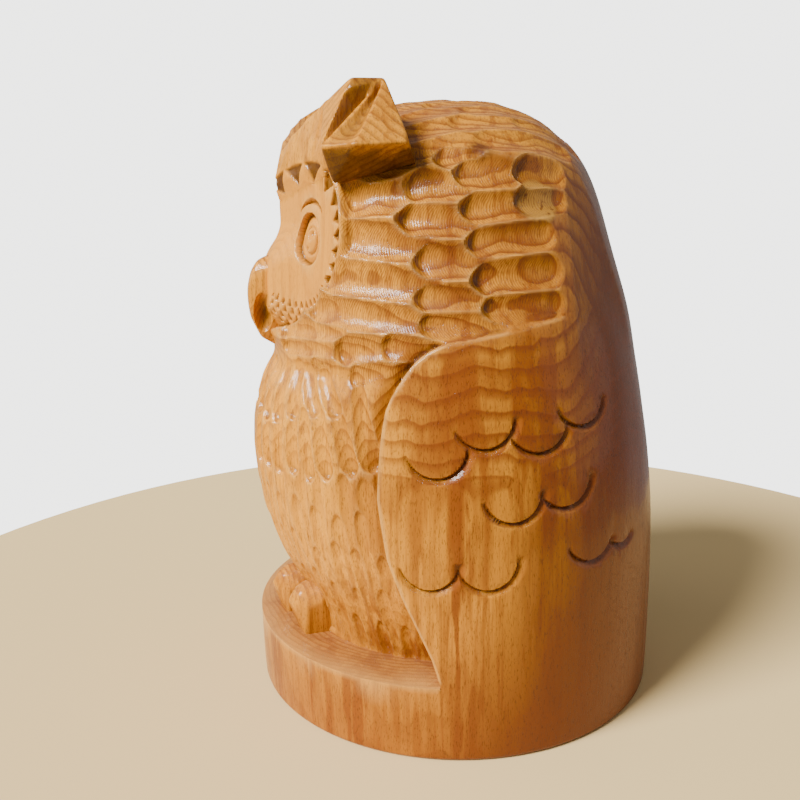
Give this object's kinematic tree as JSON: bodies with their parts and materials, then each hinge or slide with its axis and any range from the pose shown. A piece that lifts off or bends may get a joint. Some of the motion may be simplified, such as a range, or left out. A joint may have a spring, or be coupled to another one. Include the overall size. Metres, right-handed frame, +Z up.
{
  "type": "carved wooden owl figurine",
  "caption": "Owl carved from one piece of log, with ear tufts, gouged head feathers, folded wings and feet on a low round foot; stands on its flat underside.",
  "frame": {"origin": "centre of the flat underside", "axes": "+Z up, the owl faces -Y, its left wing is on the +X side"},
  "size_m": [0.1308, 0.1308, 0.185],
  "materials": {
    "wood": "carved hardwood, oiled and varnished to a satin gloss"
  },
  "bodies": {
    "root": {"owl": "wood"}
  },
  "joints": []
}
